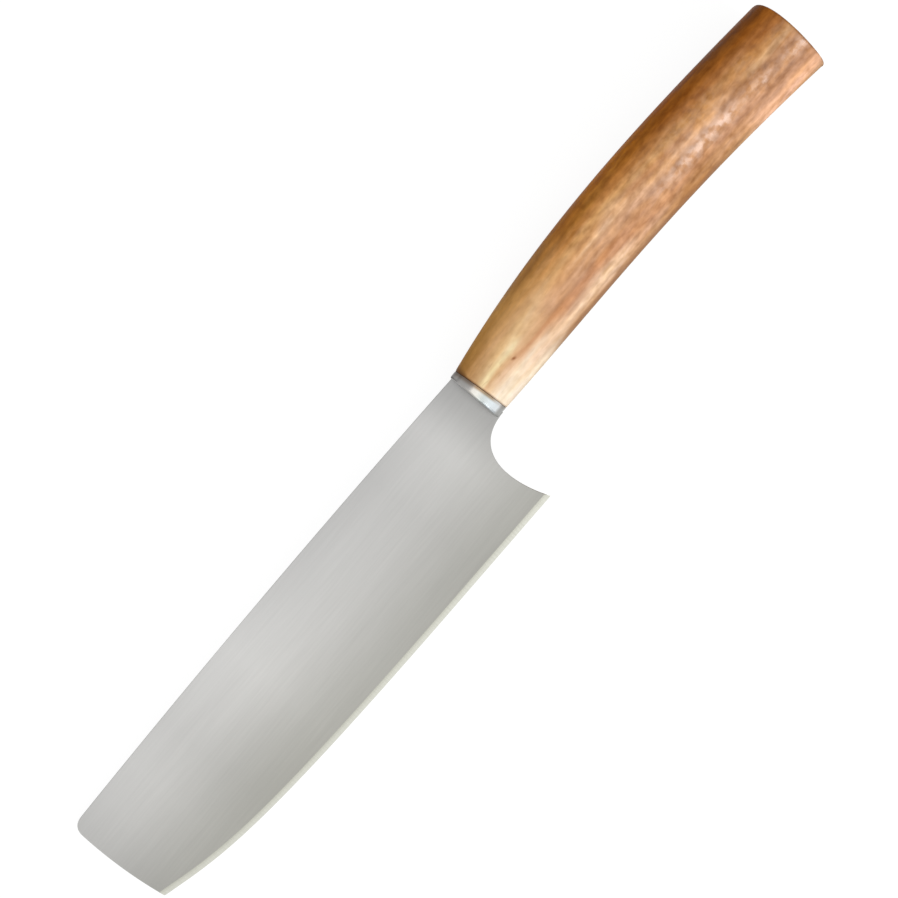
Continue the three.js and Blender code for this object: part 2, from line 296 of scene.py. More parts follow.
def make_piece(name, vertices, faces, materials, sharp, face_materials=None):
    """Mesh object in the frame, smooth up to the sharp angle."""
    mesh = bpy.data.meshes.new(name)
    mesh.from_pydata((np.asarray(vertices) * MM).tolist(), [], faces)
    for material in materials:
        mesh.materials.append(material)
    if face_materials:
        mesh.polygons.foreach_set("material_index", face_materials)
    mesh.shade_smooth()
    mesh.set_sharp_from_angle(angle=sharp)
    piece = bpy.data.objects.new(name, mesh)
    piece.matrix_world = DRAWN
    bpy.context.scene.collection.objects.link(piece)
    return piece


def stand_for(piece, node):
    """The piece replaces a node and rides on the knife's one body."""
    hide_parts(node)
    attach(piece, "root")


def bevel_ends(outer, inner, normals, tip_place, heel_place):
    """Points of nose and finger notch where the bevel has grown as thick as the eased wall."""
    ends = []
    for corner, neighbour, side in ((tip_place, tip_place - 1, tip_place),
                                    (heel_place, heel_place + 1, heel_place - 1)):
        slope = half_thickness(inner[corner]) / BEVEL_WIDTH
        reach = (half_thickness(outer[corner]) - WALL_EASE) / slope
        way = outer[neighbour] - outer[corner]
        way /= np.linalg.norm(way)
        ends.append(outer[corner] + way * reach / (way @ normals[side]))
    return ends


def make_blade(flank, bevel):
    """Ground blade and tang: flat flanks, eased walls and a honed bevel on each side of the edge."""
    outline, tip_place, heel_place = blade_outline()
    count = len(outline)
    on_edge = np.zeros(count, bool)
    on_edge[tip_place:heel_place] = True
    outer = drawn_in(outline, np.where(on_edge, HONE_DEPTH, 0))
    inner = drawn_in(outline, np.where(on_edge, HONE_DEPTH + BEVEL_WIDTH, WALL_EASE))
    wall_half = half_thickness(outer) - WALL_EASE
    wall_half[tip_place:heel_place + 1] = EDGE_HALF
    rim = [(outer[i], wall_half[i], i) for i in range(count)]
    nose_end, choil_end = bevel_ends(outer, inner, inward_normals(outline), tip_place, heel_place)
    rim.insert(heel_place + 1, (choil_end, half_thickness(choil_end) - WALL_EASE, heel_place))
    rim.insert(tip_place, (nose_end, half_thickness(nose_end) - WALL_EASE, tip_place))
    flank_half = half_thickness(inner)

    vertices = []
    for side in (1, -1):
        vertices += [(p[0], p[1], side * half) for p, half, _ in rim]
    inner_up = len(vertices)
    inner_down = inner_up + count
    for side in (1, -1):
        vertices += [(q[0], q[1], side * half) for q, half in zip(inner, flank_half)]

    faces = [list(range(inner_up, inner_up + count)), list(range(inner_down, inner_down + count))[::-1]]
    finishes = [0, 0]
    size = len(rim)
    for i in range(size):
        j = (i + 1) % size
        honed = int(tip_place <= i <= heel_place + 1)
        here, there = rim[i][2], rim[j][2]
        upper = [i, j, inner_up + there, inner_up + here]
        lower = [size + j, size + i, inner_down + here, inner_down + there]
        if here == there:
            upper.pop()
            lower.pop()
        faces += [upper, lower, [size + i, size + j, j, i]]
        finishes += [honed, honed, 0]
    piece = make_piece("satin_blade", vertices, faces, (flank, bevel), BLADE_CREASE, finishes)
    inward = piece.data.attributes.new("inward", "FLOAT", "POINT")
    inward.data.foreach_set("value", np.repeat((0, 1), (2 * size, 2 * count)).astype(np.float32))
    stand_for(piece, "blade")


# Handle and bolster


def guide_points(start, slope_in, end, slope_out):
    """A long curve of the handle, steered by its slopes at seam and butt."""
    return (start, along(start, slope_in, SEAM_HOLD), along(end, slope_out, -BUTT_HOLD), end)


BACK = guide_points(
    (seam_x(FRONT_HEIGHT / 2), FRONT_HEIGHT / 2), BACK_RISE,
    (HANDLE_LENGTH, BUTT_HEIGHT / 2 - BUTT_DROP), -BACK_FALL)
UNDERSIDE = guide_points(
    (seam_x(-FRONT_HEIGHT / 2), -FRONT_HEIGHT / 2), -UNDERSIDE_DIP,
    (HANDLE_LENGTH, -BUTT_HEIGHT / 2 - BUTT_DROP), -UNDERSIDE_FALL)
SWELL = (
    (0, FRONT_THICKNESS / 2), (SWELL_HOLD, BUTT_THICKNESS / 2),
    (HANDLE_LENGTH - SWELL_HOLD, BUTT_THICKNESS / 2), (HANDLE_LENGTH, BUTT_THICKNESS / 2))
BACK_CURVE = bezier(BACK, LONG_STEPS)
UNDERSIDE_CURVE = bezier(UNDERSIDE, LONG_STEPS)
SWELL_CURVE = bezier(SWELL, LONG_STEPS)
RING_TURNS = 2 * math.pi * np.arange(RING_POINTS) / RING_POINTS


def egg_ring(step, shift=0, inset=0):
    """Egg-shaped ring across the long curves, moved along X and drawn in all round."""
    top, bottom = BACK_CURVE[step], UNDERSIDE_CURVE[step]
    middle = (top + bottom) / 2
    upright = (top - bottom) / 2
    length = np.linalg.norm(upright)
    upright = upright * (length - inset) / length
    half = SWELL_CURVE[step][1] - inset
    egg = FRONT_EGG + (BUTT_EGG - FRONT_EGG) * step / LONG_STEPS
    widest = math.acos((math.sqrt(1 + 8 * egg * egg) - 1) / (4 * egg))
    bulge = np.sin(RING_TURNS) * (1 + egg * np.cos(RING_TURNS))
    bulge /= math.sin(widest) * (1 + egg * math.cos(widest))
    x = middle[0] + upright[0] * np.cos(RING_TURNS) + shift
    y = middle[1] + upright[1] * np.cos(RING_TURNS)
    return np.stack((x, y, half * bulge), axis=1)


def rim_rings(step, end, inward, radius):
    """Rings over a rounded rim, from the end face to where the full oval begins."""
    turns = np.linspace(0, math.pi / 2, ROUND_STEPS + 1)
    return [egg_ring(step, end + inward * radius * (1 - math.cos(turn)), radius * (1 - math.sin(turn)))
            for turn in turns]


def loft(rings):
    """Vertices and faces of a skin over rings, with its first and last ring closed."""
    count = len(rings[0])
    faces = [list(range(count))[::-1]]
    for i in range(len(rings) - 1):
        for j in range(count):
            k = (j + 1) % count
            here, there = i * count, (i + 1) * count
            faces.append([here + j, here + k, there + k, there + j])
    faces.append(list(range((len(rings) - 1) * count, len(rings) * count)))
    return np.concatenate(rings), faces


def mortise_ring(front):
    """Four-sided ring of the tang's mortise, at its mouth in the seam or at its far end."""
    grow = GLUE_WALL + 2 * GLUE_CLEARANCE
    half_height = (TANG_ROOT_HEIGHT if front else TANG_END_HEIGHT) / 2 + grow
    eighth = RING_POINTS // 8
    ramp = np.arange(2 * eighth) / eighth - 1
    ones = np.ones(2 * eighth)
    across = np.concatenate((ones, -ramp, -ones, ramp))
    outward = np.concatenate((ramp, ones, -ramp, -ones))
    y = np.roll(across, -eighth) * half_height
    x = seam_x(y) if front else np.full(RING_POINTS, TANG_LENGTH + grow)
    half = half_thickness(np.stack((x, y), axis=1)) + grow
    return np.stack((x, y, np.roll(outward, -eighth) * half), axis=1)


def make_handle(wood):
    """Arched wooden handle with rounded ends and the mortise for the tang."""
    rings = [mortise_ring(False), mortise_ring(True)]
    rings += rim_rings(0, 0, 1, FRONT_EASE)
    rings += [egg_ring(step) for step in range(1, LONG_STEPS)]
    rings += rim_rings(LONG_STEPS, 0, -1, BUTT_EASE)[::-1]
    vertices, faces = loft(rings)
    piece = make_piece("wooden_handle", vertices, faces, (wood,), ROUND_CREASE)
    across = piece.data.attributes.new("across", "FLOAT", "POINT")
    across.data.foreach_set("value", np.tile(np.cos(RING_TURNS), len(rings)).astype(np.float32))
    stand_for(piece, "handle")


def plate(name, outline, grow):
    """Cutting tool over an outline, as thick as the grind and thicker by grow on each side."""
    outline = np.asarray(outline, float)
    count = len(outline)
    half = half_thickness(outline) + grow
    vertices = [(*p, z) for p, z in zip(outline, half)] + [(*p, -z) for p, z in zip(outline, half)]
    faces = [list(range(count)), list(range(count, 2 * count))[::-1]]
    faces += [[count + i, count + (i + 1) % count, (i + 1) % count, i] for i in range(count)]
    return make_piece(name, vertices, faces, (), 0)


def cut(piece, tools):
    """Subtracts tools from a piece and removes them."""
    for tool in tools:
        change = piece.modifiers.new(tool.name, "BOOLEAN")
        change.operation = "DIFFERENCE"
        change.solver = "EXACT"
        change.object = tool
    bpy.context.view_layer.update()
    evaluated = piece.evaluated_get(bpy.context.evaluated_depsgraph_get())
    piece.data = bpy.data.meshes.new_from_object(evaluated)
    piece.modifiers.clear()
    for tool in tools:
        bpy.data.objects.remove(tool)


def make_bolster(polished):
    """Collar with an upright front, slotted for the blade's neck and pierced for the tang."""
    front = rim_rings(0, -BOLSTER_LENGTH, 1, BOLSTER_ROUND)
    for ring in front:
        ring[:, 0] -= seam_x(ring[:, 1])
    vertices, faces = loft(front + [egg_ring(0, -SEAM_FIT)])
    piece = make_piece("polished_bolster", vertices, faces, (polished,), ROUND_CREASE)
    low, high = NECK_LOW - CUT_REACH, SPINE_HEIGHT + CUT_REACH
    ahead = -BOLSTER_LENGTH - CUT_REACH
    slot = [(ahead, low), (shoulder_x(low) + NECK_FIT, low),
            (shoulder_x(high) + NECK_FIT, high), (ahead, high)]
    half_root = TANG_ROOT_HEIGHT / 2 + SLOT_CLEARANCE
    hole = [(ahead, -half_root), (CUT_REACH, -half_root), (CUT_REACH, half_root), (ahead, half_root)]
    cut(piece, (plate("neck_slot", slot, NECK_FIT), plate("tang_hole", hole, SLOT_CLEARANCE)))
    piece.data.shade_smooth()
    piece.data.set_sharp_from_angle(angle=ROUND_CREASE)
    stand_for(piece, "bolster")


# Materials

# Places of values among the Mix node's sockets
FLOAT_INPUTS = (2, 3)
COLOUR_INPUTS = (6, 7)
COLOUR_OUTPUT = 2

# Noise cells per metre along the drawn axes
BRUSHED = (70, 1500, 300)
BROADLY_BRUSHED = (14, 300, 100)
HONED = (1700, 60, 60)
BUFFED = (3000, 40, 40)
WANDER = (24, 150, 150)
GRAIN = (26, 430, 430)
MOTTLE = (300, 520, 520)
GROWTH = (10, 90, 1300)
WARMTH = (90, 340, 340)
PORES = (260, 2600, 2600)
WORN = (420, 420, 420)
CLOUDS = (300, 300, 300)


def grey(light):
    """Colour without a hue."""
    return (light, light, light)


class Shader:
    """One node tree, with short forms for its nodes."""

    def __init__(self, tree):
        self.tree = tree

    def node(self, kind, inputs=None, **settings):
        made = self.tree.nodes.new("ShaderNode" + kind)
        for key, value in settings.items():
            setattr(made, key, value)
        for key, value in (inputs or {}).items():
            self.feed(made.inputs[key], value)
        return made

    def feed(self, socket, value):
        if isinstance(value, bpy.types.NodeSocket):
            self.tree.links.new(value, socket)
        else:
            socket.default_value = value

    def place(self):
        """Point in the piece's own axes, in metres."""
        return self.node("TexCoord").outputs["Object"]

    def noise(self, cells, detail=2.0, offset=(0, 0, 0), distortion=0.0):
        """Soft noise with its own number of cells per metre along each axis."""
        mapped = self.node("Mapping", {"Vector": self.place(), "Location": offset, "Scale": cells})
        inputs = {"Vector": mapped.outputs[0], "Scale": 1.0, "Detail": detail, "Distortion": distortion}
        return self.node("TexNoise", inputs).outputs["Fac"]

    def remap(self, value, low, high, to_low=0.0, to_high=1.0, way="SMOOTHSTEP"):
        """Value carried from one range to another and held at its ends."""
        inputs = {"Value": value, "From Min": low, "From Max": high, "To Min": to_low, "To Max": to_high}
        return self.node("MapRange", inputs, interpolation_type=way).outputs[0]

    def zone(self, value, low, high, to_low=0.0, to_high=1.0):
        """Soft change between two drawn places, in millimetres."""
        return self.remap(value, low * MM, high * MM, to_low, to_high)

    def streak(self, x, y, begin, end, half_width, fade):
        """Soft-edged streak along a drawn line, in millimetres, fading in and out at its ends."""
        slope = (end[1] - begin[1]) / (end[0] - begin[0])
        off = self.math("SUBTRACT", y, self.times(x, slope))
        off = self.math("ABSOLUTE", self.math("SUBTRACT", off, (begin[1] - slope * begin[0]) * MM))
        rise = self.zone(x, begin[0] - fade, begin[0] + fade)
        fall = self.zone(x, end[0] - fade, end[0] + fade, 1, 0)
        return self.times(rise, fall, self.zone(off, half_width, 0))

    def ramp(self, value, stops):
        """Colours along a value from 0 to 1."""
        made = self.node("ValToRGB", {"Fac": value})
        elements = made.color_ramp.elements
        while len(elements) < len(stops):
            elements.new(0.5)
        for element, (position, colour) in zip(elements, stops):
            element.position = position
            element.color = (*colour, 1)
        return made.outputs["Color"]

    def math(self, operation, first, second=0.0):
        made = self.node("Math", operation=operation)
        self.feed(made.inputs[0], first)
        self.feed(made.inputs[1], second)
        return made.outputs[0]

    def times(self, first, *others):
        """Product of values."""
        for other in others:
            first = self.math("MULTIPLY", first, other)
        return first

    def between(self, first, second, share):
        """Value between two values."""
        made = self.node("Mix", data_type="FLOAT")
        self.feed(made.inputs["Factor"], share)
        for place, value in zip(FLOAT_INPUTS, (first, second)):
            self.feed(made.inputs[place], value)
        return made.outputs[0]

    def mix(self, first, second, share, blend="MIX"):
        """Two colours mixed by a share."""
        made = self.node("Mix", data_type="RGBA", blend_type=blend)
        self.feed(made.inputs["Factor"], share)
        for place, colour in zip(COLOUR_INPUTS, (first, second)):
            plain = not isinstance(colour, bpy.types.NodeSocket)
            self.feed(made.inputs[place], (*colour, 1) if plain else colour)
        return made.outputs[COLOUR_OUTPUT]

    def bump(self, height, distance, strength):
        inputs = {"Height": height, "Distance": distance, "Strength": strength}
        return self.node("Bump", inputs).outputs[0]


def new_material(name):
    """A material, its shader's short forms and its surface node."""
    material = bpy.data.materials.new(name)
    material.use_nodes = True
    return material, Shader(material.node_tree), material.node_tree.nodes["Principled BSDF"]


def drawn_place(shader):
    """Drawn X and Y of the shaded point, in metres."""
    return shader.node("SeparateXYZ", {"Vector": shader.place()}).outputs[:2]


def behind_seam(shader, x, y):
    """Distance behind the raked seam along X, in metres."""
    return shader.math("ADD", x, shader.times(y, math.tan(SEAM_RAKE)))


# Steel


def finish_metal(shader, surface, tone, roughness, normal):
    """Metal with a tone, a roughness and a bump."""
    shader.feed(surface.inputs["Base Color"], tone)
    surface.inputs["Metallic"].default_value = 1
    shader.feed(surface.inputs["Roughness"], roughness)
    shader.feed(surface.inputs["Normal"], normal)


# Blade's painted reflection from edge to spine: darker and warmer toward the edge, lightest below the
# spine
BLADE_PAINTED_REFLECTION = (
    (0.0, (0.445, 0.44, 0.397)), (0.16, (0.478, 0.473, 0.435)), (0.3, (0.533, 0.528, 0.495)),
    (0.45, (0.616, 0.61, 0.583)), (0.6, (0.688, 0.682, 0.66)), (0.78, (0.715, 0.71, 0.693)),
    (1.0, (0.665, 0.66, 0.65)))
# Bands of light and shade across the blade, from nose to seam
BLADE_BANDS = (
    (0.0, 0.79), (0.075, 0.89), (0.145, 0.935), (0.237, 0.905), (0.4, 1.0), (0.566, 0.91),
    (0.769, 0.85), (0.88, 0.93))
NECK_SHADE = 0.7


def satin_steel():
    """Brushed stainless steel: fine lines along the blade, a painted reflection that is warmer and darker
    toward the edge, painted bands of light and shade along it and painted shade at the neck.
    """
    material, shader, surface = new_material("satin_steel")
    x, y = drawn_place(shader)
    height = shader.remap(y, HEEL[1] * MM, NOSE_TOP[1] * MM, 0, 0.83, way="LINEAR")
    height = shader.math("ADD", height, shader.zone(x, -130, -70, 0, 0.13))
    # Painted reflection: lighter below the spine, darker and warmer toward the edge
    tone = shader.ramp(height, BLADE_PAINTED_REFLECTION)
    length = shader.remap(x, NOSE_TOP[0] * MM, 0, way="LINEAR")
    bands = shader.ramp(length, [(position, grey(light)) for position, light in BLADE_BANDS])
    tone = shader.mix(tone, bands, shader.zone(y, -34, -10, 0.55, 1), "MULTIPLY")
    neck = shader.times(shader.zone(x, -21, -3), shader.zone(y, -24, -8))
    tone = shader.mix(tone, grey(NECK_SHADE), neck, "MULTIPLY")
    lines = shader.noise(BRUSHED, detail=4)
    broad = shader.noise(BROADLY_BRUSHED, detail=2, offset=(3, 1, 0))
    tone = shader.mix(tone, shader.ramp(lines, ((0.3, grey(0.86)), (0.7, grey(1)))), 0.45, "MULTIPLY")
    tone = shader.mix(tone, shader.ramp(broad, ((0.3, grey(0.9)), (0.7, grey(1)))), 0.3, "MULTIPLY")
    roughness = shader.remap(lines, 0.25, 0.75, 0.28, 0.36)
    finish_metal(shader, surface, tone, roughness, shader.bump(lines, 0.01 * MM, 0.15))
    return material


# Bevel's painted reflection from the cutting edge to the flank: lighter at the edge, darker toward the
# flank
BEVEL_PAINTED_REFLECTION = ((0.0, (0.68, 0.68, 0.61)), (0.5, (0.655, 0.655, 0.58)), (1.0, (0.545, 0.545, 0.475)))


def honed_steel():
    """The bevel's steel, lightened by a painted reflection, with faint honing marks across the edge."""
    material, shader, surface = new_material("honed_steel")
    marks = shader.noise(HONED, detail=3)
    inward = shader.node("Attribute", attribute_name="inward").outputs["Fac"]
    streaks = shader.ramp(marks, ((0.3, grey(0.95)), (0.7, grey(1))))
    # Painted reflection across the bevel, under the honing marks
    tone = shader.mix(shader.ramp(inward, BEVEL_PAINTED_REFLECTION), streaks, 1, "MULTIPLY")
    roughness = shader.remap(marks, 0.3, 0.7, 0.25, 0.29)
    finish_metal(shader, surface, tone, roughness, shader.bump(marks, 0.003 * MM, 0.1))
    return material


# Bolster's painted reflections and shade from underside to back: dark at the underside and the back,
# bright bands between
BOLSTER_PAINTED_REFLECTION = (
    (0.0, (0.30, 0.30, 0.29)), (0.065, (0.36, 0.36, 0.35)), (0.115, (0.73, 0.77, 0.79)),
    (0.22, (0.775, 0.84, 0.87)), (0.39, (0.67, 0.72, 0.70)), (0.5, (0.90, 0.89, 0.82)),
    (0.58, (0.86, 0.83, 0.76)), (0.645, (0.73, 0.71, 0.68)), (0.83, (0.70, 0.68, 0.66)),
    (0.885, (0.38, 0.37, 0.36)), (0.94, (0.24, 0.23, 0.22)), (1.0, (0.08, 0.07, 0.07)))
# Painted brown shade on the bolster beside the seam
BACK_PAINTED_SHADE = (0.43, 0.31, 0.22)
JOINT_PAINTED_SHADE = (0.54, 0.37, 0.23)
RIM_SHADE = 0.54
FRONT_FACE = (0.64, 0.64, 0.63)


def polished_steel():
    """The bolster's polished steel: painted reflections bright on the flanks, rougher with painted shade
    at the back, painted brown shade beside the seam.
    """
    material, shader, surface = new_material("polished_steel")
    x, y = drawn_place(shader)
    height = shader.remap(y, -FRONT_HEIGHT / 2 * MM, FRONT_HEIGHT / 2 * MM, way="LINEAR")
    # Painted reflections and shade across the bolster
    tone = shader.ramp(height, BOLSTER_PAINTED_REFLECTION)
    behind = behind_seam(shader, x, y)
    # Painted brown shade on the bolster's back, beside the seam
    painted_back_shade = shader.times(shader.zone(behind, -1.8, -0.2, 0, 0.75), shader.zone(y, 0, 3))
    tone = shader.mix(tone, BACK_PAINTED_SHADE, painted_back_shade, "MULTIPLY")
    # Painted brown shade along the seam, strongest below the middle
    painted_joint_shade = shader.times(shader.zone(behind, -1.25, -0.35, 0, 0.95), shader.zone(y, 3, 1, 0.25, 1),
                         shader.zone(y, -6.5, -4, 0.35, 1))
    tone = shader.mix(tone, JOINT_PAINTED_SHADE, painted_joint_shade, "MULTIPLY")
    rim = shader.times(shader.zone(x, -2.1, -2.5), shader.zone(y, -1, -3), shader.zone(y, -8, -7))
    rim = shader.math("MAXIMUM", rim, shader.zone(x, -2.5, -2.8, 0, 0.3))
    tone = shader.mix(tone, grey(RIM_SHADE), rim, "MULTIPLY")
    tone = shader.mix(tone, FRONT_FACE, shader.zone(x, -2.85, -3.05, 0, 0.85))
    dull_back = shader.zone(y, 1.2, 2.8, 0.09, 0.28)
    dull_rim = shader.zone(x, -2.2, -2.6, 0.09, 0.55)
    marks = shader.noise(BUFFED, detail=3)
    finish_metal(shader, surface, tone, shader.math("MAXIMUM", dull_back, dull_rim),
                 shader.bump(marks, 0.004 * MM, 0.2))
    return material


# Wood

# Wood's tone from underside to back, along the handle and beside the seam; its deeper brown toward the
# back is partly painted shade
WOOD_TONE_AND_SHADE = (
    (0.0, (0.42, 0.25, 0.13)), (0.14, (0.58, 0.315, 0.17)), (0.24, (0.52, 0.26, 0.135)),
    (0.36, (0.58, 0.315, 0.175)), (0.46, (0.68, 0.375, 0.195)), (0.65, (0.73, 0.40, 0.17)),
    (0.745, (0.59, 0.255, 0.08)), (0.86, (0.58, 0.215, 0.035)), (1.0, (0.57, 0.185, 0.01)))
SEAM_TONES = (
    (0.0, (0.90, 0.74, 0.55)), (0.16, (0.90, 0.765, 0.59)), (0.27, (0.85, 0.64, 0.43)),
    (0.41, (0.78, 0.50, 0.28)), (0.54, (0.82, 0.55, 0.29)), (0.67, (0.74, 0.425, 0.195)),
    (0.82, (0.80, 0.42, 0.145)), (1.0, (0.76, 0.37, 0.085)))
BUTT_SHADE = (0.72, 0.63, 0.54)
SEAM_SHADE = (0.85, 0.83, 0.79)
# Painted shadow along the seam, and painted shade along the underside's rim
SEAM_PAINTED_SHADOW = (0.15, 0.06, 0.025)
UNDERSIDE_PAINTED_SHADE = (0.28, 0.12, 0.05)
PORE = (0.28, 0.11, 0.035)
HONEY = (0.96, 0.78, 0.46)
CREAM = (0.86, 0.60, 0.40)
PEACH = (0.90, 0.50, 0.30)
PALE = (0.86, 0.56, 0.33)
RUSSET = (0.57, 0.27, 0.13)
AUBURN = (0.46, 0.21, 0.09)
UMBER = (0.40, 0.18, 0.06)
CHESTNUT = (0.50, 0.19, 0.02)
BROWN = (0.17, 0.055, 0.015)
KNOT = (0.30, 0.11, 0.04)
# Colour, beginning and end of each streak's line as drawn, its half width, fade and strength
WOOD_STREAKS = (
    (HONEY, (0, 0.15), (17, 1.3), 1.45, 3, 0.95),
    (CREAM, (10, -6.1), (58, -6.1), 1.9, 9, 0.85),
    (RUSSET, (10, -1.9), (60, -3.2), 1.9, 7, 0.75),
    (RUSSET, (3, -3.3), (18, -3.2), 1.7, 3, 0.35),
    (AUBURN, (68, 3.8), (97, 1.4), 2.4, 4, 0.85),
    (BROWN, (104, -2.1), (124, -2.9), 1.7, 4, 0.28),
    (PALE, (46, 2.3), (64, 1.9), 1.3, 4, 0.5),
    (PALE, (116, -0.6), (136, -0.6), 1.8, 4, 0.5),
    (UMBER, (74, -8.2), (93, -9.8), 3.2, 8, 0.8),
    (UMBER, (88, -8.9), (102, -9.7), 1.5, 4, 0.6),
    (UMBER, (68, 7.3), (94, 6.8), 1.6, 5, 0.45),
    (UMBER, (26, 11.9), (44, 12.9), 1.5, 4, 0.6),
    (CHESTNUT, (46, 9.6), (66, 9.8), 2.5, 5, 0.6),
    (CHESTNUT, (22, 4.2), (58, 4.0), 1.9, 6, 0.22),
    # Painted shade: this streak darkens the back toward the butt
    (BROWN, (108, 11.4), (140, 9.2), 3.0, 10, 0.6),
    # Painted light: this streak lightens the underside toward the butt
    (PEACH, (109, -10.7), (138, -12.7), 3.5, 6, 0.8),
    (KNOT, (12.1, -1.5), (13.3, -1.9), 0.9, 0.6, 0.9),
)
# Gloss of the wood from seam to butt
WORN_GLOSS = (
    (0.52, 0.0), (0.67, 1.0), (0.76, 1.0), (0.81, 0.25), (0.87, 0.8), (0.92, 0.25), (0.98, 0.8))


def wood_ground(shader, x, side):
    """The wood's tone from underside to back, deeper brown toward the back partly as painted shade, with
    painted shade toward the butt and paler toward the seam.
    """
    share = shader.remap(side, -1, 1, way="LINEAR")
    begin = shader.remap(side, -0.2, 0.5, 96 * MM, 70 * MM)
    shaded = shader.remap(x, begin, shader.math("ADD", begin, 28 * MM))
    shaded = shader.times(shaded, shader.remap(side, -0.34, -0.14))
    # Wood's tone, its back deepened by painted shade, times the painted shade toward the butt
    tone = shader.mix(shader.ramp(share, WOOD_TONE_AND_SHADE), BUTT_SHADE, shaded, "MULTIPLY")
    begin = shader.remap(side, -0.2, 0.4, 12 * MM, 22 * MM)
    end = shader.remap(side, -0.2, 0.4, 34 * MM, 58 * MM)
    return shader.mix(tone, shader.ramp(share, SEAM_TONES), shader.remap(x, begin, end, 1, 0))


def wood_streaks(shader, tone, x, y, wander):
    """The larger streaks and the knot, along lines that wander a little; by the butt, a painted shade on
    the back and a painted light on the underside.
    """
    drift = shader.math("ADD", y, shader.remap(wander, 0.25, 0.75, -1 * MM, 1 * MM))
    for colour, begin, end, half_width, fade, strength in WOOD_STREAKS:
        share = shader.streak(x, drift, begin, end, half_width, fade)
        tone = shader.mix(tone, colour, shader.times(share, strength))
    return tone


def wood_flecks(shader, tone, x, butt, grain, mottle, pores):
    """The fine figure: grain, mottle, growth rings on the butt, a drifting hue and dark pores."""
    lines = shader.ramp(grain, ((0.3, (0.77, 0.73, 0.67)), (0.7, (1.22, 1.26, 1.32))))
    tone = shader.mix(tone, lines, shader.zone(x, 15, 60, 0.55, 0.75), "MULTIPLY")
    patches = shader.ramp(mottle, ((0.3, (0.64, 0.57, 0.50)), (0.7, (1.36, 1.43, 1.5))))
    tone = shader.mix(tone, patches, shader.zone(x, 15, 70, 0.25, 0.6), "MULTIPLY")
    growth = shader.noise(GROWTH, detail=3, offset=(0, 3, 1), distortion=0.4)
    rings = shader.ramp(growth, ((0.35, (0.62, 0.55, 0.48)), (0.65, grey(1.05))))
    tone = shader.mix(tone, rings, butt, "MULTIPLY")
    warmth = shader.noise(WARMTH, detail=2, offset=(5, 2, 9))
    hues = shader.ramp(warmth, ((0.35, (1.02, 0.97, 0.83)), (0.65, (0.98, 1.03, 1.17))))
    tone = shader.mix(tone, hues, shader.zone(x, 15, 60, 0.4, 0.8), "MULTIPLY")
    return shader.mix(tone, PORE, shader.remap(pores, 0.6, 0.76, 0, 0.2))


def wood_rims(shader, tone, x, y, across):
    """Painted shade along the underside's rim, a painted shadow along the seam, and a painted shade behind
    the seam.
    """
    # Painted shade along the underside's rim, where the wood turns away from the light
    rim = shader.times(shader.remap(across, -0.86, -0.95), shader.zone(x, 18, 30),
                       shader.zone(x, 88, 106, 0.6, 0))
    tone = shader.mix(tone, UNDERSIDE_PAINTED_SHADE, rim)
    behind = behind_seam(shader, x, y)
    # Painted shade behind the seam, over the upper half
    painted_seam_shade = shader.times(shader.zone(behind, 16, 3), shader.zone(y, 0.6, 2))
    tone = shader.mix(tone, SEAM_SHADE, painted_seam_shade, "MULTIPLY")
    # Painted shadow along the seam, wider toward the back and stronger above
    width = shader.remap(across, 0.5, 0.9, 0.8 * MM, 2.8 * MM)
    strength = shader.zone(y, -6, -3, 0.6, 0.85)
    return shader.mix(tone, SEAM_PAINTED_SHADOW, shader.remap(behind, width, 0, 0, strength))


def wood_gloss(shader, x, side, butt):
    """Gloss worn into the flanks in patches, with none on the butt's end."""
    length = shader.remap(x, 0, HANDLE_LENGTH * MM, way="LINEAR")
    worn = shader.ramp(length, [(position, grey(gloss)) for position, gloss in WORN_GLOSS])
    patches = shader.remap(shader.noise(WORN, detail=2, offset=(2, 6, 8)), 0.36, 0.62)
    glossy = shader.between(shader.times(patches, worn), 0, butt)
    return shader.times(glossy, shader.remap(shader.math("ABSOLUTE", side), 0.6, 0.35))


def oiled_wood():
    """Wood with lengthwise figure: brown along the back, partly painted shade, golden and cream near the
    bolster.
    """
    material, shader, surface = new_material("oiled_wood")
    x, y = drawn_place(shader)
    across = shader.node("Attribute", attribute_name="across").outputs["Fac"]
    butt = shader.zone(x, HANDLE_LENGTH - BUTT_EASE, HANDLE_LENGTH - 0.2)
    level = shader.remap(y, UNDERSIDE[-1][1] * MM, BACK[-1][1] * MM, -1, 1, way="LINEAR")
    across = shader.between(across, level, butt)
    wander = shader.noise(WANDER, detail=3)
    side = shader.math("ADD", across, shader.remap(wander, 0.25, 0.75, -0.1, 0.1))
    side = shader.math("ADD", side, shader.zone(x, 45, 85, -0.05, 0.07))
    grain = shader.noise(GRAIN, detail=4, offset=(7, 1, 5))
    mottle = shader.noise(MOTTLE, detail=2, offset=(0, 4, 2))
    pores = shader.noise(PORES, detail=2, offset=(1, 9, 3))
    tone = wood_ground(shader, x, side)
    tone = wood_streaks(shader, tone, x, y, wander)
    tone = wood_flecks(shader, tone, x, butt, grain, mottle, pores)
    tone = wood_rims(shader, tone, x, y, across)
    shader.feed(surface.inputs["Base Color"], tone)
    shader.feed(surface.inputs["Roughness"], shader.remap(mottle, 0.3, 0.7, 0.42, 0.54))
    height = shader.math("SUBTRACT", grain, pores)
    shader.feed(surface.inputs["Normal"], shader.bump(height, 0.04 * MM, 0.12))
    surface.inputs["Specular IOR Level"].default_value = 0.06
    shader.feed(surface.inputs["Coat Weight"], wood_gloss(shader, x, side, butt))
    surface.inputs["Coat Roughness"].default_value = 0.28
    return material


# Glue


